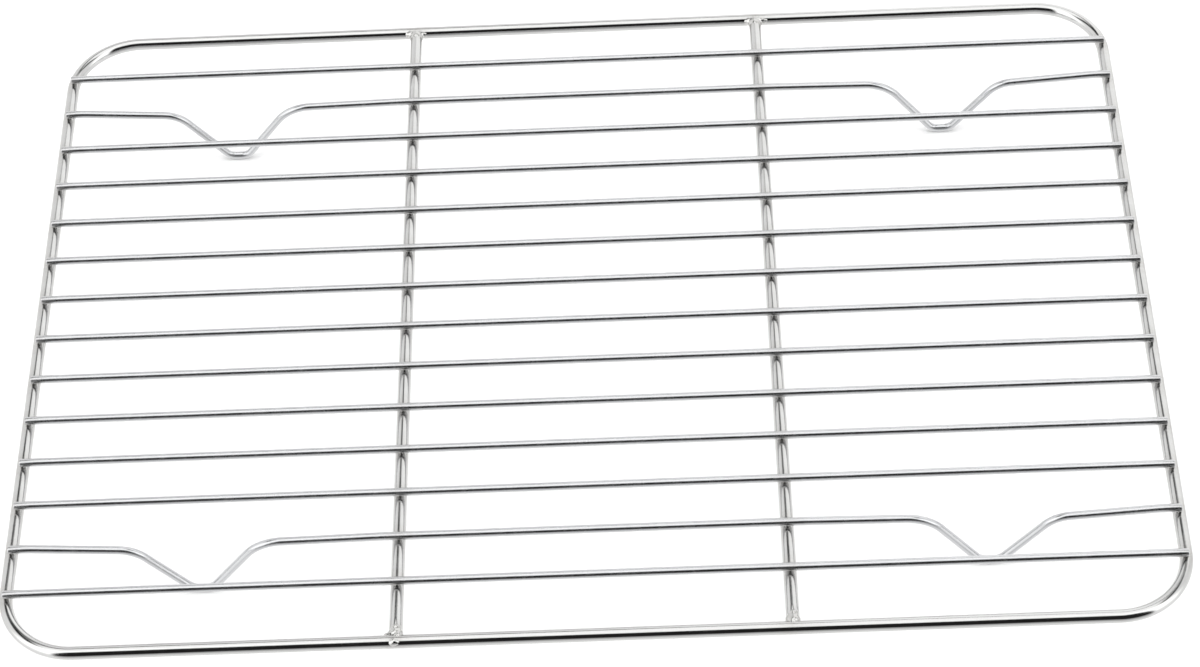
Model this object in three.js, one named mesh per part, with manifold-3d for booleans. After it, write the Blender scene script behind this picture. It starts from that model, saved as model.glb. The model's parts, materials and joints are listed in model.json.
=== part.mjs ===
// A footed wire cooling rack. It is welded from bent and straight round wire:
//   - a rim, one thick wire bent into a rounded rectangle and butt welded into a loop
//   - two crossbars of the same wire, welded between the rim's long sides
//   - a grid of thinner wires that lie across the rim's short sides and the crossbars
//   - two of those grid wires are bent down into two V-shaped feet each
// Millimetres. +X runs along the grid wires, +Y to the back, +Z up. The feet stand on z = 0.

import * as THREE from "three";
import { mergeVertices } from "three/addons/utils/BufferGeometryUtils.js";
import Module from "manifold-3d";

const wasm = await Module();
wasm.setup();

// ---- Driving dimensions ----

// Outside to outside of the rim
const LENGTH = 420;
const WIDTH = 305;

// Wire diameters
const RIM_WIRE = 4.8;
const GRID_WIRE = 3;

// Rim
const CORNER_RADIUS = 26; // to the centre of the wire
const BUTT_WELD_LENGTH = 1.6;

// Crossbars: from the outside of a short side to the centre of the nearer bar
const END_BAY = 141;

// Grid
const GRID_COUNT = 14;
const GRID_MARGIN = 25.5; // from the outside of a long side to the centre of the first wire
const GRID_END_INSET = 1.8; // from the outside of the rim to a wire's end

// Feet
const FOOT_DROP = 27; // from the grid down to the toes, centre to centre of the wire
const FOOT_INSET = 68; // from the outside of a short side to the middle of a toe
const FOOT_LEG_ANGLE = THREE.MathUtils.degToRad(53); // from the horizontal
const TOE_FLAT = 2; // the level stretch that a toe stands on
const TOE_RADIUS = 5; // of the bend at each end of it
const INNER_SHOULDER_RADIUS = 17;
const OUTER_SHOULDER_RADIUS = 12.5;
const OUTER_SAG = 3; // how far the outer shoulder hangs below the grid
const INNER_SAG = 1;
const SAG_RADIUS = 45; // of the slight bends where the sag starts
const SAG_START = 4; // from the side of the rim or crossbar to such a bend

// Crossbar welds: how far a bead stands out past the bar
const BEAD_PROUD_SIDE = 1.9;
const BEAD_PROUD_TOP = 1.3;
const BEAD_LENGTH = 5.6; // along the bar

// Clearances
const CONTACT_GAP = 0.02; // between two wires that cross or meet end to end
const BEAD_GAP = 0.3; // between a bead and the wires it is shaped round

// Facets round a wire (a multiple of 4, so each has a flat top, underside and sides) and along a bend
const RIM_SIDES = 16;
const GRID_SIDES = 12;
const CORNER_STEPS = 9;
const FOOT_BEND_STEPS = 6;

// ---- Derived places ----

const RIM_X = (LENGTH - RIM_WIRE) / 2;
const RIM_Y = (WIDTH - RIM_WIRE) / 2;
const GRID_Z = FOOT_DROP + GRID_WIRE / 2;
const RIM_Z = GRID_Z - GRID_WIRE / 2 - CONTACT_GAP - RIM_WIRE / 2;
const CROSSBAR_X = LENGTH / 2 - END_BAY;
const CROSSBAR_END_Y = RIM_Y - RIM_WIRE / 2 - CONTACT_GAP;
const FIRST_WIRE_Y = WIDTH / 2 - GRID_MARGIN;
const GRID_PITCH = (2 * FIRST_WIRE_Y) / (GRID_COUNT - 1);
const FOOT_X = LENGTH / 2 - FOOT_INSET;

// ---- Materials ----

const thickWireSteel = steel(0xb9bab9, 0.16);
const thinWireSteel = steel(0xc4c5c6, 0.18);
const weldSteel = steel(0xaeadaa, 0.32);

function steel(color, roughness) {
  return new THREE.MeshStandardMaterial({ color, roughness, metalness: 1 });
}

// ---- Wire ----

// A round section drawn as a polygon whose flats are one diameter apart.
function wireSection(diameter, sides) {
  const cornerRadius = diameter / 2 / Math.cos(Math.PI / sides);
  const corners = Array.from({ length: sides }, (_, i) => {
    const angle = ((i + 0.5) * 2 * Math.PI) / sides;
    return new THREE.Vector2(cornerRadius * Math.cos(angle), cornerRadius * Math.sin(angle));
  });
  return new THREE.Shape(corners);
}

// The two planes that a wire's outline is drawn in.
const layFlat = (point) => new THREE.Vector3(point.x, point.y, 0);
const standUp = (point) => new THREE.Vector3(point.x, 0, point.y);

// A wire's centre line: a flat outline, which is a list of lines and arcs, laid in space.
// A line is one step and an arc is several, so straight stretches stay free of needless facets.
class WireLine extends THREE.Curve {
  constructor(outline, arcSteps, lay) {
    super();
    this.lay = lay;
    this.stretches = outline.flatMap((curve) => {
      const count = curve.isLineCurve ? 1 : arcSteps;
      return Array.from({ length: count }, (_, i) => ({ curve, start: i / count, share: 1 / count }));
    });
    this.steps = this.stretches.length;
  }

  // The stretch that holds t, and how far along its line or arc t is.
  locate(t) {
    const step = t * this.steps;
    const index = THREE.MathUtils.clamp(Math.floor(step), 0, this.steps - 1);
    const { curve, start, share } = this.stretches[index];
    return { curve, along: start + share * (step - index) };
  }

  getPoint(t) {
    const { curve, along } = this.locate(t);
    return this.lay(curve.getPoint(along));
  }

  getTangent(t) {
    const { curve, along } = this.locate(t);
    return this.lay(curve.getTangent(along)).normalize();
  }

  // Steps are even in t, whatever their lengths.
  getUtoTmapping(u) {
    return u;
  }
}

function wireGeometry(diameter, sides, line) {
  return new THREE.ExtrudeGeometry(wireSection(diameter, sides), {
    steps: line.steps,
    extrudePath: line,
  });
}

// A straight wire between two points of the XY plane.
function straightWireGeometry(diameter, sides, start, end) {
  const outline = [new THREE.LineCurve(start, end)];
  return wireGeometry(diameter, sides, new WireLine(outline, 1, layFlat));
}

// An outline through corners {x, y, radius}, each rounded by an arc of its radius (none at the ends).
function bentOutline(corners) {
  const curves = [];
  let reached = new THREE.Vector2(corners[0].x, corners[0].y);
  for (let i = 1; i < corners.length - 1; i++) {
    const arc = bendArc(corners[i - 1], corners[i], corners[i + 1]);
    curves.push(new THREE.LineCurve(reached, arc.getPoint(0)), arc);
    reached = arc.getPoint(1);
  }
  const last = corners[corners.length - 1];
  curves.push(new THREE.LineCurve(reached, new THREE.Vector2(last.x, last.y)));
  return curves;
}

function bendArc(before, corner, after) {
  const arriving = new THREE.Vector2().subVectors(corner, before).normalize();
  const leaving = new THREE.Vector2().subVectors(after, corner).normalize();
  const turn = Math.atan2(arriving.cross(leaving), arriving.dot(leaving));
  const tangentLength = corner.radius * Math.tan(Math.abs(turn) / 2);
  const inward = new THREE.Vector2(-arriving.y, arriving.x).multiplyScalar(Math.sign(turn));
  const centre = new THREE.Vector2(corner.x, corner.y)
    .addScaledVector(arriving, -tangentLength)
    .addScaledVector(inward, corner.radius);
  const start = Math.atan2(-inward.y, -inward.x);
  const { radius } = corner;
  return new THREE.EllipseCurve(centre.x, centre.y, radius, radius, start, start + turn, turn < 0);
}

function namedMesh(name, geometry, material, position) {
  const mesh = new THREE.Mesh(geometry, material);
  mesh.name = name;
  mesh.position.copy(position);
  return mesh;
}

// ---- Rim ----

// The rim starts and ends at its butt weld, halfway along the left side.
function rimFrame() {
  const endY = BUTT_WELD_LENGTH / 2 + CONTACT_GAP;
  const outline = bentOutline([
    { x: -RIM_X, y: -endY },
    { x: -RIM_X, y: -RIM_Y, radius: CORNER_RADIUS },
    { x: RIM_X, y: -RIM_Y, radius: CORNER_RADIUS },
    { x: RIM_X, y: RIM_Y, radius: CORNER_RADIUS },
    { x: -RIM_X, y: RIM_Y, radius: CORNER_RADIUS },
    { x: -RIM_X, y: endY },
  ]);
  const line = new WireLine(outline, CORNER_STEPS, layFlat);
  const position = new THREE.Vector3(0, 0, RIM_Z);
  return namedMesh("rim_frame", wireGeometry(RIM_WIRE, RIM_SIDES, line), thickWireSteel, position);
}

// The butt weld is ground flush, so it has the wire's own section.
function rimButtWeld() {
  const start = new THREE.Vector2(0, -BUTT_WELD_LENGTH / 2);
  const end = new THREE.Vector2(0, BUTT_WELD_LENGTH / 2);
  const geometry = straightWireGeometry(RIM_WIRE, RIM_SIDES, start, end);
  return namedMesh("rim_butt_weld", geometry, weldSteel, new THREE.Vector3(-RIM_X, 0, RIM_Z));
}

// The x of the rim's outer side at height y of the plan, which its corners draw in.
function rimOutsideX(y) {
  const intoCorner = Math.max(0, Math.abs(y) - (RIM_Y - CORNER_RADIUS));
  const outerRadius = CORNER_RADIUS + RIM_WIRE / 2;
  return LENGTH / 2 - outerRadius + Math.sqrt(outerRadius ** 2 - intoCorner ** 2);
}

// ---- Crossbars ----

function crossbar(name, x) {
  const start = new THREE.Vector2(0, -CROSSBAR_END_Y);
  const end = new THREE.Vector2(0, CROSSBAR_END_Y);
  const geometry = straightWireGeometry(RIM_WIRE, RIM_SIDES, start, end);
  return namedMesh(name, geometry, thickWireSteel, new THREE.Vector3(x, 0, RIM_Z));
}

function solidOf(geometry) {
  const bare = geometry.clone();
  bare.deleteAttribute("normal");
  bare.deleteAttribute("uv");
  const merged = mergeVertices(bare);
  return new wasm.Manifold(
    new wasm.Mesh({
      numProp: 3,
      vertProperties: merged.attributes.position.array,
      triVerts: new Uint32Array(merged.index.array),
    }),
  );
}

function geometryOf(solid) {
  const { vertProperties, triVerts } = solid.getMesh();
  const geometry = new THREE.BufferGeometry();
  geometry.setAttribute("position", new THREE.BufferAttribute(vertProperties, 3));
  geometry.setIndex(new THREE.BufferAttribute(triVerts, 1));
  geometry.computeVertexNormals();
  return geometry;
}

// The bead that joins a crossbar to the rim: a collar round the bar's end, hollowed to fit both wires.
// It is drawn at the bar's end, with the rim behind it, on the side of +Y.
function crossbarBeadGeometry() {
  const halfWidth = RIM_WIRE / 2 + BEAD_PROUD_SIDE;
  const halfHeight = RIM_WIRE / 2 + BEAD_PROUD_TOP;
  const bead = new THREE.SphereGeometry(1, 20, 12);
  bead.scale(halfWidth, BEAD_LENGTH / 2, halfHeight);
  bead.translate(0, -BEAD_LENGTH / 6, 0);
  const reach = RIM_WIRE + BEAD_LENGTH;
  const cutDiameter = RIM_WIRE + 2 * BEAD_GAP;
  const barStart = new THREE.Vector2(0, -reach);
  const barEnd = new THREE.Vector2(0, reach);
  const bar = straightWireGeometry(cutDiameter, RIM_SIDES, barStart, barEnd);
  const rimStart = new THREE.Vector2(-reach, RIM_WIRE / 2);
  const rimEnd = new THREE.Vector2(reach, RIM_WIRE / 2);
  const rim = straightWireGeometry(cutDiameter, RIM_SIDES, rimStart, rimEnd);
  return geometryOf(solidOf(bead).subtract(solidOf(bar)).subtract(solidOf(rim)));
}

function crossbarBead(name, x, side) {
  const position = new THREE.Vector3(x, side * (RIM_Y - RIM_WIRE / 2), RIM_Z);
  const mesh = namedMesh(name, crossbarBeadGeometry(), weldSteel, position);
  if (side < 0) {
    mesh.rotation.z = Math.PI;
  }
  return mesh;
}

// ---- Grid ----

function wireY(number) {
  return FIRST_WIRE_Y - (number - 1) * GRID_PITCH;
}

function gridWireEndX(number) {
  return rimOutsideX(wireY(number)) - GRID_END_INSET;
}

function gridWire(number) {
  const end = new THREE.Vector2(gridWireEndX(number), 0);
  const geometry = straightWireGeometry(GRID_WIRE, GRID_SIDES, end.clone().negate(), end);
  const name = `grid_wire_${String(number).padStart(2, "0")}`;
  return namedMesh(name, geometry, thinWireSteel, new THREE.Vector3(0, wireY(number), GRID_Z));
}

// The corners of the right-hand foot, from the crossbar out to the rim. x is along the rack and y is up,
// from the grid's own level. Both legs have the same slope, and the outer shoulder sags more.
function footCorners(endX) {
  const slope = Math.tan(FOOT_LEG_ANGLE);
  const toeX = TOE_FLAT / 2 + TOE_RADIUS * Math.tan(FOOT_LEG_ANGLE / 2);
  const shoulderX = (sag) => toeX + (FOOT_DROP - sag) / slope;
  return [
    { x: CROSSBAR_X + RIM_WIRE / 2 + SAG_START, y: 0, radius: SAG_RADIUS },
    { x: FOOT_X - shoulderX(INNER_SAG), y: -INNER_SAG, radius: INNER_SHOULDER_RADIUS },
    { x: FOOT_X - toeX, y: -FOOT_DROP, radius: TOE_RADIUS },
    { x: FOOT_X + toeX, y: -FOOT_DROP, radius: TOE_RADIUS },
    { x: FOOT_X + shoulderX(OUTER_SAG), y: -OUTER_SAG, radius: OUTER_SHOULDER_RADIUS },
    { x: RIM_X - RIM_WIRE / 2 - SAG_START, y: 0, radius: SAG_RADIUS },
    { x: endX, y: 0 },
  ];
}

function footWire(name, number) {
  const rightHalf = footCorners(gridWireEndX(number));
  const leftHalf = rightHalf.map(({ x, y, radius }) => ({ x: -x, y, radius })).reverse();
  const line = new WireLine(bentOutline([...leftHalf, ...rightHalf]), FOOT_BEND_STEPS, standUp);
  const position = new THREE.Vector3(0, wireY(number), GRID_Z);
  return namedMesh(name, wireGeometry(GRID_WIRE, GRID_SIDES, line), thinWireSteel, position);
}

// ---- The rack ----

const rack = new THREE.Group();

rack.add(rimFrame(), rimButtWeld());

for (const [side, x] of [["left", -CROSSBAR_X], ["right", CROSSBAR_X]]) {
  rack.add(crossbar(`${side}_crossbar`, x));
  rack.add(crossbarBead(`${side}_rear_weld`, x, 1));
  rack.add(crossbarBead(`${side}_front_weld`, x, -1));
}

const REAR_FOOT_NUMBER = 2;
const FRONT_FOOT_NUMBER = GRID_COUNT - 1;
for (let number = 1; number <= GRID_COUNT; number++) {
  if (number === REAR_FOOT_NUMBER) {
    rack.add(footWire("rear_foot_wire", number));
  } else if (number === FRONT_FOOT_NUMBER) {
    rack.add(footWire("front_foot_wire", number));
  } else {
    rack.add(gridWire(number));
  }
}

export default rack;
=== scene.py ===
"""A footed wire cooling rack of polished stainless steel, on a plain pale floor. Metres, +Z up."""

import json
import math
import random

import bmesh
import bpy
from mathutils import Matrix, Vector, kdtree, noise


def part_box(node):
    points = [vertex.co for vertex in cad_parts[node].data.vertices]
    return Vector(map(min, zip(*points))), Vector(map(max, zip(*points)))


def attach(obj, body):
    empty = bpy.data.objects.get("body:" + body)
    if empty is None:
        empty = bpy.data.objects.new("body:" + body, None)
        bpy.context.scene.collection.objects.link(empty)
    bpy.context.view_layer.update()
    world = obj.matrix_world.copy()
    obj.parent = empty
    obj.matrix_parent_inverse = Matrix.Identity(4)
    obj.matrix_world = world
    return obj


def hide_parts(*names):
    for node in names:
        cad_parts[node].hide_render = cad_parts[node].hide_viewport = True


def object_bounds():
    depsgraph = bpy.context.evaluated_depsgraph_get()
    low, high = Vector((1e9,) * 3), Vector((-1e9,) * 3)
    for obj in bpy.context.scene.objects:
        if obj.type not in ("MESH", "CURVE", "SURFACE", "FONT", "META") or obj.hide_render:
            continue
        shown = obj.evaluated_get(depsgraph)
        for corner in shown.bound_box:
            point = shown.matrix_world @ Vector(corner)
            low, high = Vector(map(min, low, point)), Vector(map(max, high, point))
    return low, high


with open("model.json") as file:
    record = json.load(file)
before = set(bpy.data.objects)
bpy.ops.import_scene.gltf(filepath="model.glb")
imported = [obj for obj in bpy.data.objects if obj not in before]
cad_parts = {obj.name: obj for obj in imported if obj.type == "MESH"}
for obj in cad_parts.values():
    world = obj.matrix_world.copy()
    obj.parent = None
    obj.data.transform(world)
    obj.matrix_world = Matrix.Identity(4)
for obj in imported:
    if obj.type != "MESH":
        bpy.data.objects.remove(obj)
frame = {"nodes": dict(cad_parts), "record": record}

CAD_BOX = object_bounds()
MM = 0.001

# ---- Sizes of the bends, which the CAD boxes don't give ----

TOE_FLAT = 2 * MM
TOE_RADIUS = 5 * MM
FOOT_LEG_ANGLE = math.radians(53)
INNER_SHOULDER_RADIUS = 17 * MM
OUTER_SHOULDER_RADIUS = 12.5 * MM
OUTER_SAG = 3 * MM
INNER_SAG = 1 * MM
SAG_RADIUS = 45 * MM
SAG_START = 4 * MM

# ---- Fineness of the meshes ----

THICK_SIDES = 40
THIN_SIDES = 28
ARC_STEP = math.radians(3)
RUN_STEP = 6 * MM
EDGE_ROUNDING = 0.45 * MM
EDGE_STEPS = 4
END_CORE_SHARE = 0.35  # of a wire's radius: the flat middle of a rounded end
SEAM_STEPS = 16
LUMP_SUBDIVISIONS = 4

# ---- Welds ----

SEAM_DEPTH = 0.01 * MM
SEAM_HOLLOWS = 3
FILLET_GAP = 0.38 * MM  # how far apart two crossing wires are where their weld's fillet ends
FILLET_NECK_GAP = 0.12 * MM  # and where its waist is
FILLET_SIDES = 40
FILLET_STEPS = 8
FILLET_SEARCH_STEPS = 20
FILLET_SEARCH_SHARE = 0.99  # of the thin wire's radius
WELD_REACH = 5 * MM  # how far a weld's heat marks the wire
BEAD_VOXEL = 0.22 * MM
BEAD_SMOOTHING = 22
BEAD_STUB_INSET = 0.12 * MM  # how far the metal hidden in a bead stays inside the wires
BEAD_STUB_ALONG_RIM = 13 * MM
BEAD_STUB_ALONG_BAR = 10 * MM
BEAD_RIPPLES = ((0.16 * MM, 1.6 * MM), (0.05 * MM, 0.5 * MM))  # (height, breadth)

# ---- Camera ----

CAMERA_ELEVATION = math.radians(49.86)
CAMERA_AZIMUTH = math.radians(2.17)
CAMERA_ROLL = math.radians(3.82)
CAMERA_DISTANCE = 1.174
CAMERA_AIM = Vector((3.8 * MM, -13.9 * MM))  # across the rim's middle plane
CAMERA_LENS = 94.1
CAMERA_SENSOR = 36

# ---- Floor, lights and finish ----

FLOOR_HALF_SIZE = 12
FLOOR_LIGHT_SIZE = 2.4
FLOOR_LIGHT_HEIGHT = 1.8
FLOOR_LIGHT_ENERGY = 14
SOFTBOX_GLOW = 1.7
TABLE_GLOW = 1.25
DRAWN_LINES = (25, 5200, 1)  # noise cells per metre, along a wire and round it
HEAT_TINT = (0.30, 0.28, 0.25, 1)

random.seed(7)


# ---- What the frame says ----

def middle(node):
    low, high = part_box(node)
    return (low + high) / 2


def straight_reach():
    """How far the rim's long sides stay straight, either way from the middle."""
    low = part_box("rim_frame")[0]
    vertices = frame["nodes"]["rim_frame"].data.vertices
    return max(vertex.co.x for vertex in vertices if vertex.co.y < low.y + 0.01 * MM)


RIM_LOW, RIM_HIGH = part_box("rim_frame")
RIM_RADIUS = (RIM_HIGH.z - RIM_LOW.z) / 2
RIM_X = RIM_HIGH.x - RIM_RADIUS
RIM_Y = RIM_HIGH.y - RIM_RADIUS
RIM_Z = RIM_HIGH.z - RIM_RADIUS
CORNER_RADIUS = RIM_X - straight_reach()
CROSSBAR_X = middle("right_crossbar").x
GRID_WIRES = [name for name in frame["nodes"] if name.startswith("grid_wire")]
FOOT_WIRES = ["rear_foot_wire", "front_foot_wire"]
GRID_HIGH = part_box(GRID_WIRES[0])[1]
GRID_RADIUS = (GRID_HIGH.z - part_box(GRID_WIRES[0])[0].z) / 2
GRID_Z = GRID_HIGH.z - GRID_RADIUS
WIRE_END_INSET = RIM_HIGH.x - max(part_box(name)[1].x for name in GRID_WIRES)
TOE_X = next(m["pos_m"][0] for m in frame["record"]["mounts"] if m["name"] == "rear_right_toe")
FOOT_DROP = GRID_Z - GRID_RADIUS - CAD_BOX[0].z
ACROSS_WIRES = GRID_WIRES + FOOT_WIRES


def rim_side_x(y):
    """Where the right side of the rim is, to the middle of its wire."""
    into_corner = max(0.0, abs(y) - (RIM_Y - CORNER_RADIUS))
    return RIM_X - CORNER_RADIUS + math.sqrt(CORNER_RADIUS**2 - into_corner**2)


def crossings():
    """The middle of each spot weld, as (x, y), for each bar that the grid lies on."""
    rows = {"left_rim": [], "left_crossbar": [], "right_crossbar": [], "right_rim": []}
    for node in ACROSS_WIRES:
        y = middle(node).y
        for bar, x in zip(rows, (-rim_side_x(y), -CROSSBAR_X, CROSSBAR_X, rim_side_x(y))):
            rows[bar].append((x, y))
    return rows


CROSSINGS = crossings()
CROSSBAR_JOINTS = [(x, y) for x in (-CROSSBAR_X, CROSSBAR_X) for y in (-RIM_Y, RIM_Y)]
WELD_POINTS = [Vector((x, y, RIM_Z + RIM_RADIUS)) for row in CROSSINGS.values() for x, y in row]
WELD_POINTS += [Vector((x, y, RIM_Z)) for x, y in CROSSBAR_JOINTS]
WELD_TREE = kdtree.KDTree(len(WELD_POINTS))
for weld_number, weld_point in enumerate(WELD_POINTS):
    WELD_TREE.insert(weld_point, weld_number)
WELD_TREE.balance()


# ---- Centre lines ----

def arc_points(before, corner, after, radius):
    """The rounding of a corner, from tangent point to tangent point."""
    arriving = (corner - before).normalized()
    leaving = (after - corner).normalized()
    turn = math.atan2(arriving.x * leaving.y - arriving.y * leaving.x, arriving.dot(leaving))
    inward = Vector((-arriving.y, arriving.x)) * math.copysign(1, turn)
    start = corner - arriving * radius * math.tan(abs(turn) / 2)
    centre = start + inward * radius
    steps = max(2, math.ceil(abs(turn) / ARC_STEP))
    spoke = start - centre
    return [centre + Matrix.Rotation(turn * i / steps, 2) @ spoke for i in range(steps + 1)]


def bent_line(corners):
    """Points along an outline through corners (x, y, radius), with its straight runs cut into short steps."""
    places = [Vector((x, y)) for x, y, _ in corners]
    bends = [[places[0]]]
    for i in range(1, len(corners) - 1):
        bends.append(arc_points(places[i - 1], places[i], places[i + 1], corners[i][2]))
    bends.append([places[-1]])
    points = []
    for arc, following in zip(bends, bends[1:]):
        points += arc
        steps = max(1, round((following[0] - arc[-1]).length / RUN_STEP))
        points += [arc[-1].lerp(following[0], i / steps) for i in range(1, steps)]
    return points + bends[-1]


# ---- Wire meshes ----

def stations(points, radius, rounded):
    """(point, radius) along a wire. Rounded ends draw in over a small edge."""
    if not rounded:
        return [(point, radius) for point in points]
    first = (points[1] - points[0]).normalized()
    last = (points[-1] - points[-2]).normalized()
    drawn_in = []
    for i in range(EDGE_STEPS + 1):
        turn = math.pi / 2 * i / EDGE_STEPS
        back = EDGE_ROUNDING * (1 - math.sin(turn))
        drawn_in.append((back, radius - EDGE_ROUNDING * (1 - math.cos(turn))))
    start = [(points[0] + first * back, slim) for back, slim in reversed(drawn_in)]
    end = [(points[-1] - last * back, slim) for back, slim in drawn_in]
    core = radius * END_CORE_SHARE
    return [(points[0], core)] + start + [(p, radius) for p in points[1:-1]] + end + [(points[-1], core)]


def wire_mesh(name, points, normal, radius, sides, rounded=True):
    """A round wire along points that lie in the plane with that normal."""
    made = bmesh.new()
    uv_layer = made.loops.layers.uv.new("wire")
    line = stations(points, radius, rounded)
    rings = []
    travelled = [0.0]
    for i, (centre, slim) in enumerate(line):
        ahead = line[min(i + 1, len(line) - 1)][0]
        behind = line[max(i - 1, 0)][0]
        tangent = (ahead - behind).normalized()
        over = tangent.cross(normal)
        if i:
            travelled.append(travelled[-1] + (centre - behind).length)
        ring = []
        for j in range(sides):
            angle = 2 * math.pi * j / sides
            ring.append(made.verts.new(centre + slim * (math.cos(angle) * normal + math.sin(angle) * over)))
        rings.append(ring)
    for i, (ring, following) in enumerate(zip(rings, rings[1:])):
        for j in range(sides):
            k = (j + 1) % sides
            face = made.faces.new((ring[j], ring[k], following[k], following[j]))
            face.smooth = True
            around = 2 * math.pi * radius / sides
            places = ((i, j), (i, j + 1), (i + 1, j + 1), (i + 1, j))
            for loop, (step, side) in zip(face.loops, places):
                loop[uv_layer].uv = (travelled[step], side * around)
    for cap in (made.faces.new(list(reversed(rings[0]))), made.faces.new(rings[-1])):
        for edge in cap.edges:
            edge.smooth = False
    mesh = bpy.data.meshes.new(name)
    made.to_mesh(mesh)
    made.free()
    return mesh


def mark_heat(mesh):
    """Stores how near each point of a mesh is to a weld, from 0 to 1."""
    nearness = []
    for vertex in mesh.vertices:
        distance = WELD_TREE.find(vertex.co)[2]
        nearness.append(math.exp(-((distance / WELD_REACH) ** 2)))
    heat = mesh.attributes.new("weld_heat", "FLOAT", "POINT")
    heat.data.foreach_set("value", nearness)


def add_piece(name, mesh, material, slot, *stands_for):
    mesh.materials.append(material)
    mark_heat(mesh)
    piece = bpy.data.objects.new(name, mesh)
    bpy.context.scene.collection.objects.link(piece)
    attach(piece, "root")
    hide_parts(*stands_for)
    return piece


# ---- Rim and crossbars ----

def make_rim(steel):
    seam_low, seam_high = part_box("rim_butt_weld")
    corners = [
        (-RIM_X, seam_low.y, 0),
        (-RIM_X, -RIM_Y, CORNER_RADIUS),
        (RIM_X, -RIM_Y, CORNER_RADIUS),
        (RIM_X, RIM_Y, CORNER_RADIUS),
        (-RIM_X, RIM_Y, CORNER_RADIUS),
        (-RIM_X, seam_high.y, 0),
    ]
    points = [Vector((p.x, p.y, RIM_Z)) for p in bent_line(corners)]
    up = Vector((0, 0, 1))
    rim = wire_mesh("rim_wire", points, up, RIM_RADIUS, THICK_SIDES, rounded=False)
    add_piece("rim_wire", rim, steel, "thick_wire", "rim_frame")
    seam = seam_mesh(seam_low.y, seam_high.y)
    add_piece("rim_butt_seam", seam, steel, "weld", "rim_butt_weld")


def seam_mesh(start_y, end_y):
    """The butt weld, ground flush, with a few shallow uneven hollows round it."""
    ys = [start_y + (end_y - start_y) * i / SEAM_STEPS for i in range(SEAM_STEPS + 1)]
    points = [Vector((-RIM_X, y, RIM_Z)) for y in ys]
    up = Vector((0, 0, 1))
    mesh = wire_mesh("rim_butt_seam", points, up, RIM_RADIUS, THICK_SIDES, rounded=False)
    for vertex in mesh.vertices:
        spoke = vertex.co - Vector((-RIM_X, vertex.co.y, RIM_Z))
        along = (vertex.co.y - start_y) / (end_y - start_y)
        hollow = SEAM_DEPTH * math.sin(math.pi * along * SEAM_HOLLOWS) ** 2
        unevenness = 0.5 + 0.5 * noise.noise(vertex.co / MM)
        vertex.co -= spoke.normalized() * hollow * unevenness
    return mesh


def make_crossbar(node, steel):
    low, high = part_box(node)
    x = middle(node).x
    steps = round((high.y - low.y) / RUN_STEP)
    points = [Vector((x, low.y + (high.y - low.y) * i / steps, RIM_Z)) for i in range(steps + 1)]
    bar = wire_mesh(node + "_wire", points, Vector((0, 0, 1)), RIM_RADIUS, THICK_SIDES)
    add_piece(node + "_wire", bar, steel, "thick_wire", node)


# ---- Grid ----

def make_grid_wire(node, steel):
    low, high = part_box(node)
    y = middle(node).y
    steps = round((high.x - low.x) / RUN_STEP)
    points = [Vector((low.x + (high.x - low.x) * i / steps, y, GRID_Z)) for i in range(steps + 1)]
    wire = wire_mesh(node + "_round", points, Vector((0, 1, 0)), GRID_RADIUS, THIN_SIDES)
    add_piece(node + "_round", wire, steel, "thin_wire", node)


def foot_corners(end_x):
    """The right half of a foot wire, from the crossbar out to the rim: (x, height from the grid, radius)."""
    slope = math.tan(FOOT_LEG_ANGLE)
    toe = TOE_FLAT / 2 + TOE_RADIUS * math.tan(FOOT_LEG_ANGLE / 2)
    inner = toe + (FOOT_DROP - INNER_SAG) / slope
    outer = toe + (FOOT_DROP - OUTER_SAG) / slope
    return [
        (CROSSBAR_X + RIM_RADIUS + SAG_START, 0, SAG_RADIUS),
        (TOE_X - inner, -INNER_SAG, INNER_SHOULDER_RADIUS),
        (TOE_X - toe, -FOOT_DROP, TOE_RADIUS),
        (TOE_X + toe, -FOOT_DROP, TOE_RADIUS),
        (TOE_X + outer, -OUTER_SAG, OUTER_SHOULDER_RADIUS),
        (RIM_X - RIM_RADIUS - SAG_START, 0, SAG_RADIUS),
        (end_x, 0, 0),
    ]


def make_foot_wire(node, steel):
    right = foot_corners(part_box(node)[1].x)
    left = [(-x, height, radius) for x, height, radius in reversed(right)]
    y = middle(node).y
    points = [Vector((p.x, y, GRID_Z + p.y)) for p in bent_line(left + right)]
    wire = wire_mesh(node + "_round", points, Vector((0, 1, 0)), GRID_RADIUS, THIN_SIDES)
    add_piece(node + "_round", wire, steel, "thin_wire", node)


# ---- Spot welds ----

def bar_top(dx):
    return RIM_Z + math.sqrt(RIM_RADIUS**2 - dx**2)


def wire_underside(dy):
    return GRID_Z - math.sqrt(GRID_RADIUS**2 - dy**2)


def gap_reach(gap, direction):
    """How far from a crossing, in a direction, the two wires' facing surfaces are that far apart."""
    near = 0.0
    far = GRID_RADIUS * FILLET_SEARCH_SHARE
    for _ in range(FILLET_SEARCH_STEPS):
        reach = (near + far) / 2
        place = direction * reach
        if wire_underside(place.y) - bar_top(place.x) < gap:
            near = reach
        else:
            far = reach
    return near


def fillet_profile(angle, size, room):
    """Points from the bar's top up to the wire's underside, hollow like a drawn-in drop.

    They stay within room, (lowest x, highest x) from the crossing, which is where the wire goes on.
    """
    direction = Vector((math.cos(angle), math.sin(angle)))
    outer = gap_reach(FILLET_GAP, direction) * size
    waist = gap_reach(FILLET_NECK_GAP, direction) * size

    def on_bar(reach):
        place = direction * reach
        x = min(max(place.x, room[0]), room[1])
        return Vector((x, place.y, bar_top(x)))

    def on_wire(reach):
        place = direction * reach
        x = min(max(place.x, room[0]), room[1])
        return Vector((x, place.y, wire_underside(place.y)))

    handles = (on_bar(outer), on_bar(waist), on_wire(waist), on_wire(outer))
    points = []
    for i in range(FILLET_STEPS + 1):
        t = i / FILLET_STEPS
        weights = ((1 - t) ** 3, 3 * t * (1 - t) ** 2, 3 * t * t * (1 - t), t**3)
        point = Vector()
        for weight, handle in zip(weights, handles):
            point += weight * handle
        points.append(point)
    return points


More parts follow.
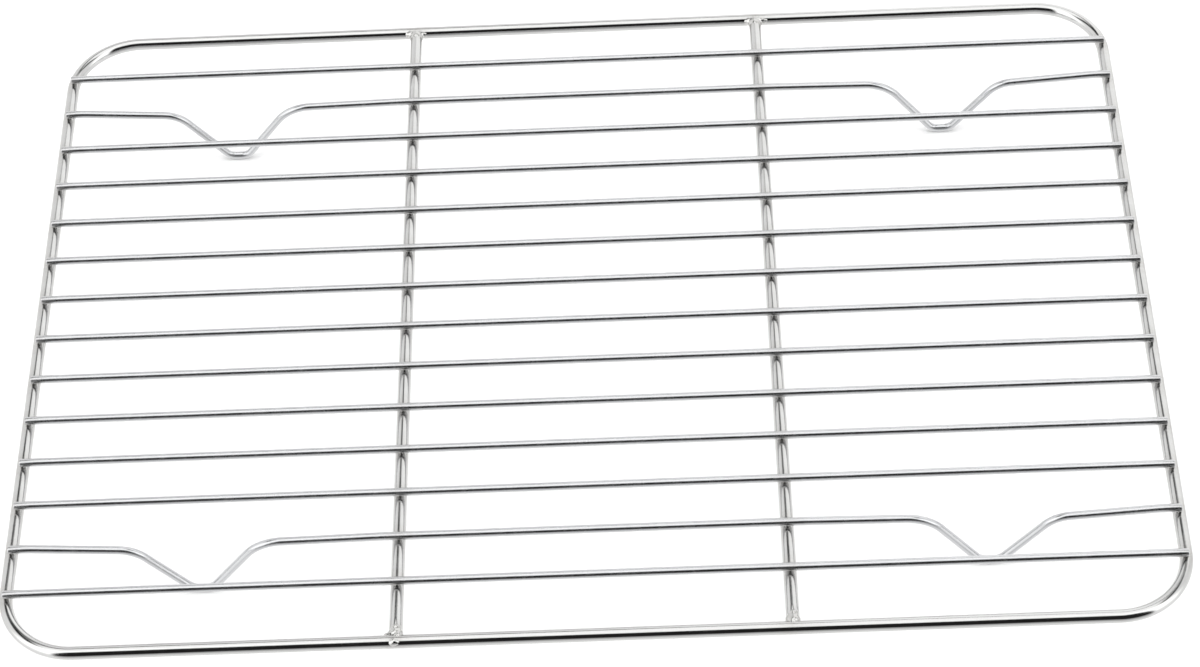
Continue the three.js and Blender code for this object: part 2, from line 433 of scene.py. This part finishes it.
def add_spot_weld(made, x, y, size, turn):
    """A closed collar of melted metal between a bar and the wire across it, flush with the wire's end."""
    wire_end = rim_side_x(y) + RIM_RADIUS - WIRE_END_INSET
    room = (-wire_end - x, wire_end - x)
    rings = []
    for j in range(FILLET_SIDES):
        angle = 2 * math.pi * j / FILLET_SIDES
        uneven = size * (1 + 0.06 * math.sin(2 * angle + turn) + 0.04 * math.sin(3 * angle - turn))
        profile = fillet_profile(angle, uneven, room)
        rings.append([made.verts.new(point + Vector((x, y, 0))) for point in profile])
    for j, profile in enumerate(rings):
        following = rings[(j + 1) % FILLET_SIDES]
        for i in range(FILLET_STEPS):
            face = made.faces.new((profile[i], following[i], following[i + 1], profile[i + 1]))
            face.smooth = True
    foot = made.verts.new((x, y, RIM_Z))
    head = made.verts.new((x, y, GRID_Z))
    for j, profile in enumerate(rings):
        following = rings[(j + 1) % FILLET_SIDES]
        made.faces.new((foot, following[0], profile[0]))
        made.faces.new((head, profile[-1], following[-1]))


def make_spot_welds(bar, places, steel):
    made = bmesh.new()
    for x, y in places:
        add_spot_weld(made, x, y, random.uniform(0.88, 1.0), random.uniform(0, 2 * math.pi))
    name = bar + "_spot_welds"
    mesh = bpy.data.meshes.new(name)
    made.to_mesh(mesh)
    made.free()
    add_piece(name, mesh, steel, "weld")


# ---- Crossbar welds ----

def add_lump(made, centre, half_sizes):
    lump = bmesh.ops.create_icosphere(made, subdivisions=LUMP_SUBDIVISIONS, radius=1)
    for vertex in lump["verts"]:
        vertex.co = Vector(c + s * v for c, s, v in zip(centre, half_sizes, vertex.co))


def add_stub(made, centre, axis, radius, length):
    turn = Vector((0, 0, 1)).rotation_difference(axis).to_matrix().to_4x4()
    bmesh.ops.create_cone(
        made,
        cap_ends=True,
        segments=THICK_SIDES,
        radius1=radius,
        radius2=radius,
        depth=length,
        matrix=Matrix.Translation(centre) @ turn,
    )


def melted_mesh(name, made):
    """One skin round overlapping solids, smoothed so that weld metal fills the creases between them."""
    rough = bpy.data.meshes.new(name + "_rough")
    made.to_mesh(rough)
    made.free()
    holder = bpy.data.objects.new(name + "_rough", rough)
    bpy.context.scene.collection.objects.link(holder)
    remesh = holder.modifiers.new("skin", "REMESH")
    remesh.mode = "VOXEL"
    remesh.voxel_size = BEAD_VOXEL
    remesh.use_smooth_shade = True
    smooth = holder.modifiers.new("flow", "SMOOTH")
    smooth.iterations = BEAD_SMOOTHING
    depsgraph = bpy.context.evaluated_depsgraph_get()
    mesh = bpy.data.meshes.new_from_object(holder.evaluated_get(depsgraph))
    bpy.data.objects.remove(holder)
    return mesh


def make_crossbar_weld(node, lumps, steel):
    """The weld at a crossbar's end.

    A lump is its place (across, inward from the rim's middle, up) and its half sizes
    (across, along the bar, up), in millimetres.
    """
    x = middle(node).x
    side = math.copysign(1, middle(node).y)
    hidden = RIM_RADIUS - BEAD_STUB_INSET
    made = bmesh.new()
    in_rim = Vector((x, side * RIM_Y, RIM_Z))
    in_bar = Vector((x, side * (RIM_Y - BEAD_STUB_ALONG_BAR / 2), RIM_Z))
    add_stub(made, in_rim, Vector((1, 0, 0)), hidden, BEAD_STUB_ALONG_RIM)
    add_stub(made, in_bar, Vector((0, 1, 0)), hidden, BEAD_STUB_ALONG_BAR)
    for place, half in lumps:
        across, inward, up = (value * MM for value in place)
        add_lump(made, (x + across, side * (RIM_Y - inward), RIM_Z + up), [value * MM for value in half])
    mesh = melted_mesh(node, made)
    low, high = CAD_BOX
    for vertex in mesh.vertices:
        rise = sum(ripple * noise.noise(vertex.co / breadth) for ripple, breadth in BEAD_RIPPLES)
        vertex.co += vertex.normal * rise
        vertex.co.y = min(max(vertex.co.y, low.y), high.y)
    add_piece(node + "_bead", mesh, steel, "weld", node)


# ---- Materials ----

def new_material(name):
    material = bpy.data.materials.new(name)
    material.use_nodes = True
    tree = material.node_tree
    shader = tree.nodes["Principled BSDF"]
    return material, tree, shader


def add_node(tree, kind, **settings):
    node = tree.nodes.new(kind)
    for key, value in settings.items():
        setattr(node, key, value)
    return node


def noise_node(tree, coordinates, scale, detail, roughness=0.5):
    texture = add_node(tree, "ShaderNodeTexNoise")
    texture.inputs["Scale"].default_value = scale
    texture.inputs["Detail"].default_value = detail
    texture.inputs["Roughness"].default_value = roughness
    tree.links.new(coordinates, texture.inputs["Vector"])
    return texture.outputs["Fac"]


def remap(tree, value, low, high, new_low, new_high):
    node = add_node(tree, "ShaderNodeMapRange")
    node.inputs["From Min"].default_value = low
    node.inputs["From Max"].default_value = high
    node.inputs["To Min"].default_value = new_low
    node.inputs["To Max"].default_value = new_high
    tree.links.new(value, node.inputs["Value"])
    return node.outputs["Result"]


def add_values(tree, first, second):
    node = add_node(tree, "ShaderNodeMath", operation="ADD")
    tree.links.new(first, node.inputs[0])
    tree.links.new(second, node.inputs[1])
    return node.outputs["Value"]


def mix_colors(tree, factor, first, second):
    node = add_node(tree, "ShaderNodeMix", data_type="RGBA")
    node.inputs["A"].default_value = (*first, 1)
    node.inputs["B"].default_value = (*second, 1)
    tree.links.new(factor, node.inputs["Factor"])
    return node.outputs["Result"]


def drawn_steel(name, dark, light, polish):
    """Drawn and polished wire: fine lines along its length, cloudy gloss and a dull straw tint near welds."""
    material, tree, shader = new_material(name)
    along = add_node(tree, "ShaderNodeUVMap", uv_map="wire")
    stretch = add_node(tree, "ShaderNodeMapping")
    stretch.inputs["Scale"].default_value = DRAWN_LINES
    tree.links.new(along.outputs["UV"], stretch.inputs["Vector"])
    lines = noise_node(tree, stretch.outputs["Vector"], 1, 3, 0.6)
    place = add_node(tree, "ShaderNodeTexCoord").outputs["Object"]
    clouds = noise_node(tree, place, 130, 4)
    heat = add_node(tree, "ShaderNodeAttribute", attribute_name="weld_heat").outputs["Fac"]
    heat_patches = add_node(tree, "ShaderNodeMath", operation="MULTIPLY")
    tree.links.new(heat, heat_patches.inputs[0])
    tree.links.new(noise_node(tree, place, 900, 3), heat_patches.inputs[1])

    metal = mix_colors(tree, clouds, dark, light)
    tinted = add_node(tree, "ShaderNodeMix", data_type="RGBA")
    tinted.inputs["B"].default_value = HEAT_TINT
    tree.links.new(remap(tree, heat_patches.outputs["Value"], 0, 1, 0, 0.6), tinted.inputs["Factor"])
    tree.links.new(metal, tinted.inputs["A"])
    tree.links.new(tinted.outputs["Result"], shader.inputs["Base Color"])

    gloss = remap(tree, clouds, 0.35, 0.65, polish, polish + 0.05)
    streaks = remap(tree, lines, 0.4, 0.75, 0, 0.05)
    dulled = remap(tree, heat_patches.outputs["Value"], 0, 1, 0, 0.05)
    roughness = add_values(tree, add_values(tree, gloss, streaks), dulled)
    tree.links.new(roughness, shader.inputs["Roughness"])

    bump = add_node(tree, "ShaderNodeBump")
    bump.inputs["Strength"].default_value = 0.12
    bump.inputs["Distance"].default_value = 0.02 * MM
    tree.links.new(lines, bump.inputs["Height"])
    tree.links.new(bump.outputs["Normal"], shader.inputs["Normal"])
    shader.inputs["Metallic"].default_value = 1
    return material


def melted_steel(name):
    """Weld metal after polishing: duller than the wire, softly pitted, with a faint tint."""
    material, tree, shader = new_material(name)
    place = add_node(tree, "ShaderNodeTexCoord").outputs["Object"]
    clouds = noise_node(tree, place, 420, 5)
    pits = noise_node(tree, place, 2600, 3, 0.65)
    color = mix_colors(tree, clouds, (0.46, 0.455, 0.44), (0.56, 0.56, 0.55))
    tree.links.new(color, shader.inputs["Base Color"])
    tree.links.new(remap(tree, pits, 0.3, 0.75, 0.10, 0.24), shader.inputs["Roughness"])
    bump = add_node(tree, "ShaderNodeBump")
    bump.inputs["Strength"].default_value = 0.25
    bump.inputs["Distance"].default_value = 0.06 * MM
    tree.links.new(pits, bump.inputs["Height"])
    tree.links.new(bump.outputs["Normal"], shader.inputs["Normal"])
    shader.inputs["Metallic"].default_value = 1
    return material


def floor_paper():
    material, tree, shader = new_material("floor_paper")
    place = add_node(tree, "ShaderNodeTexCoord").outputs["Object"]
    grain = noise_node(tree, place, 900, 4)
    paper = mix_colors(tree, grain, (0.90, 0.90, 0.90), (0.93, 0.93, 0.93))
    tree.links.new(paper, shader.inputs["Base Color"])
    shader.inputs["Roughness"].default_value = 0.8
    shader.inputs["Specular IOR Level"].default_value = 0.1
    return material


# ---- Studio ----

def make_floor():
    made = bmesh.new()
    bmesh.ops.create_grid(made, x_segments=2, y_segments=2, size=FLOOR_HALF_SIZE)
    mesh = bpy.data.meshes.new("floor")
    made.to_mesh(mesh)
    made.free()
    mesh.materials.append(floor_paper())
    floor = bpy.data.objects.new("floor", mesh)
    floor.location.z = CAD_BOX[0].z
    floor.visible_glossy = False
    bpy.context.scene.collection.objects.link(floor)


def ramp(tree, value, stops):
    """A colour ramp of greys, from (position, grey) stops."""
    node = add_node(tree, "ShaderNodeValToRGB")
    elements = node.color_ramp.elements
    while len(elements) < len(stops):
        elements.new(0.5)
    for element, (position, grey) in zip(elements, stops):
        element.position = position
        element.color = (grey, grey, grey, 1)
    tree.links.new(value, node.inputs["Fac"])
    return node.outputs["Color"]


def sine_share(degrees):
    """Where a height above the horizon falls on a ramp that runs over the sine from 0 to 1."""
    return math.sin(math.radians(degrees))


def turn_share(degrees):
    """Where a bearing from the back, to the right, falls on a ramp that runs over a full turn."""
    return 0.5 + degrees / 360


def blend_colors(tree, factor, first, second, blend_type="MIX"):
    """Two colours mixed. The factor is a number or another node's output."""
    node = add_node(tree, "ShaderNodeMix", data_type="RGBA", blend_type=blend_type)
    if isinstance(factor, (int, float)):
        node.inputs["Factor"].default_value = factor
    else:
        tree.links.new(factor, node.inputs["Factor"])
    tree.links.new(first, node.inputs["A"])
    tree.links.new(second, node.inputs["B"])
    return node.outputs["Result"]


def booth_walls(tree, turn, height):
    """White walls, brighter at the front corners.

    There is a dark opening at the front and a dark gap over the back.
    """
    walls = ramp(tree, turn, [
        (turn_share(-149), 0.02),
        (turn_share(-144), 2.1),
        (turn_share(-104), 2.1),
        (turn_share(-88), 1.3),
        (turn_share(-4), 1.15),
        (turn_share(6), 1.55),
        (turn_share(50), 1.5),
        (turn_share(64), 1.15),
        (turn_share(88), 1.2),
        (turn_share(104), 2.1),
        (turn_share(131), 2.1),
        (turn_share(136), 0.02),
    ])
    full_height = ramp(tree, turn, [
        (turn_share(-100), 1),
        (turn_share(-90), 0),
        (turn_share(90), 0),
        (turn_share(100), 1),
    ])
    left_height = ramp(tree, height, [
        (sine_share(45.5), 1),
        (sine_share(47.5), 0.7),
        (sine_share(49), 0.12),
        (sine_share(50.5), 0.02),
    ])
    right_height = ramp(tree, height, [
        (sine_share(50), 1),
        (sine_share(51.5), 0.7),
        (sine_share(53), 0.15),
        (sine_share(54), 0.02),
    ])
    to_the_right = ramp(tree, turn, [(turn_share(0), 0), (turn_share(5), 1)])
    back_height = blend_colors(tree, to_the_right, left_height, right_height)
    wall_height = blend_colors(tree, 1, full_height, back_height, "LIGHTEN")
    return blend_colors(tree, 1, walls, wall_height, "MULTIPLY")


def table_top(tree, turn, depth):
    """The table as the wires mirror it: pale below them, and fading into the dark towards the front."""
    far = ramp(tree, turn, [
        (turn_share(-150), 0.2),
        (turn_share(-143), 1.6),
        (turn_share(-104), 1.6),
        (turn_share(-88), 1.2),
        (turn_share(-50), 1.2),
        (turn_share(-20), 1.5),
        (turn_share(20), 1.5),
        (turn_share(50), 1.2),
        (turn_share(88), 1.2),
        (turn_share(104), 1.6),
        (turn_share(130), 1.6),
        (turn_share(137), 0.2),
    ])
    nearness = ramp(tree, depth, [
        (sine_share(0), 0),
        (sine_share(7), 0.3),
        (sine_share(27), 0.7),
        (sine_share(53), 1),
    ])
    below = add_node(tree, "ShaderNodeRGB").outputs["Color"]
    below.default_value = (TABLE_GLOW, TABLE_GLOW, TABLE_GLOW, 1)
    return blend_colors(tree, nearness, far, below)


def make_surroundings():
    """What the steel mirrors: a booth with a softbox overhead, and the pale table.

    The camera itself sees plain white.
    """
    world = bpy.data.worlds.new("studio")
    bpy.context.scene.world = world
    world.use_nodes = True
    tree = world.node_tree
    background = tree.nodes["Background"]
    direction = add_node(tree, "ShaderNodeSeparateXYZ")
    tree.links.new(add_node(tree, "ShaderNodeTexCoord").outputs["Generated"], direction.inputs["Vector"])
    bearing = add_node(tree, "ShaderNodeMath", operation="ARCTAN2")
    tree.links.new(direction.outputs["X"], bearing.inputs[0])
    tree.links.new(direction.outputs["Y"], bearing.inputs[1])
    turn = remap(tree, bearing.outputs["Value"], -math.pi, math.pi, 0, 1)
    height = direction.outputs["Z"]
    depth = remap(tree, height, 0, -1, 0, 1)

    at_the_sides = ramp(tree, height, [(sine_share(60), 0), (sine_share(65), SOFTBOX_GLOW)])
    at_the_back = ramp(tree, height, [(sine_share(55.5), 0), (sine_share(58.5), SOFTBOX_GLOW)])
    towards_back = ramp(tree, turn, [
        (turn_share(-40), 0),
        (turn_share(-22), 1),
        (turn_share(22), 1),
        (turn_share(40), 0),
    ])
    softbox = blend_colors(tree, towards_back, at_the_sides, at_the_back)
    booth = blend_colors(tree, 1, booth_walls(tree, turn, height), softbox, "LIGHTEN")
    above = add_node(tree, "ShaderNodeMath", operation="GREATER_THAN")
    above.inputs[1].default_value = 0
    tree.links.new(height, above.inputs[0])
    studio = blend_colors(tree, above.outputs["Value"], table_top(tree, turn, depth), booth)
    seen = add_node(tree, "ShaderNodeLightPath").outputs["Is Camera Ray"]
    white = add_node(tree, "ShaderNodeRGB").outputs["Color"]
    white.default_value = (1, 1, 1, 1)
    tree.links.new(blend_colors(tree, seen, studio, white), background.inputs["Color"])


def make_floor_light():
    """A wide soft light that only brightens the floor, and isn't mirrored in the wires."""
    light = bpy.data.lights.new("floor_light", "AREA")
    light.shape = "SQUARE"
    light.size = FLOOR_LIGHT_SIZE
    light.energy = FLOOR_LIGHT_ENERGY
    lamp = bpy.data.objects.new("floor_light", light)
    lamp.location = (0, 0, FLOOR_LIGHT_HEIGHT)
    lamp.visible_glossy = False
    bpy.context.scene.collection.objects.link(lamp)


def make_camera():
    back = Vector((
        math.sin(CAMERA_AZIMUTH) * math.cos(CAMERA_ELEVATION),
        -math.cos(CAMERA_AZIMUTH) * math.cos(CAMERA_ELEVATION),
        math.sin(CAMERA_ELEVATION),
    ))
    right = Vector((0, 0, 1)).cross(back).normalized()
    up = back.cross(right)
    axes = Matrix((right, up, back)).transposed()
    camera = bpy.data.objects.new("camera", bpy.data.cameras.new("camera"))
    camera.data.lens = CAMERA_LENS
    camera.data.sensor_width = CAMERA_SENSOR
    target = Vector((CAMERA_AIM.x, CAMERA_AIM.y, RIM_Z))
    roll = Matrix.Rotation(-CAMERA_ROLL, 3, "Z")
    camera.matrix_world = Matrix.Translation(target + back * CAMERA_DISTANCE) @ (axes @ roll).to_4x4()
    bpy.context.scene.collection.objects.link(camera)
    bpy.context.scene.camera = camera


# ---- The rack ----

thick_steel = drawn_steel("thick_wire_steel", (0.50, 0.50, 0.495), (0.57, 0.57, 0.565), 0.09)
thin_steel = drawn_steel("thin_wire_steel", (0.50, 0.505, 0.515), (0.57, 0.575, 0.585), 0.21)
bead_steel = melted_steel("weld_bead_steel")

make_rim(thick_steel)
for crossbar_node in ("left_crossbar", "right_crossbar"):
    make_crossbar(crossbar_node, thick_steel)
for grid_node in GRID_WIRES:
    make_grid_wire(grid_node, thin_steel)
for foot_node in FOOT_WIRES:
    make_foot_wire(foot_node, thin_steel)
for bar_name, bar_crossings in CROSSINGS.items():
    make_spot_welds(bar_name, bar_crossings, bead_steel)

make_crossbar_weld("left_front_weld", [
    ((0, 3.2, 0.2), (2.75, 2.4, 2.5)),
    ((0.1, 5.0, 1.0), (1.9, 1.5, 1.8)),
    ((-0.4, -0.9, 0.9), (2.5, 1.5, 1.9)),
    ((-2.2, 2.2, 0), (2.3, 1.3, 1.9)),
    ((0.9, 1.6, 1.2), (1.3, 1.2, 1.5)),
], bead_steel)
make_crossbar_weld("right_front_weld", [
    ((0, 3.3, 0.2), (2.75, 2.4, 2.5)),
    ((0.3, 5.2, 1.0), (1.7, 1.5, 1.8)),
    ((0.2, 2.4, 1.3), (1.7, 1.3, 1.5)),
], bead_steel)
make_crossbar_weld("left_rear_weld", [
    ((0, 3.0, 0.2), (2.75, 2.4, 2.5)),
    ((0, 1.5, 0.3), (5.4, 1.5, 2.2)),
    ((-0.6, 1.4, 1.0), (1.8, 1.6, 1.5)),
], bead_steel)
make_crossbar_weld("right_rear_weld", [
    ((0, 3.0, 0.2), (2.75, 2.4, 2.5)),
    ((0.4, 1.5, 0.4), (5.6, 1.5, 2.2)),
    ((1.8, 1.2, 0.9), (2.2, 1.5, 1.5)),
], bead_steel)

make_floor()
make_surroundings()
make_floor_light()
make_camera()
bpy.context.scene.view_settings.view_transform = "Standard"
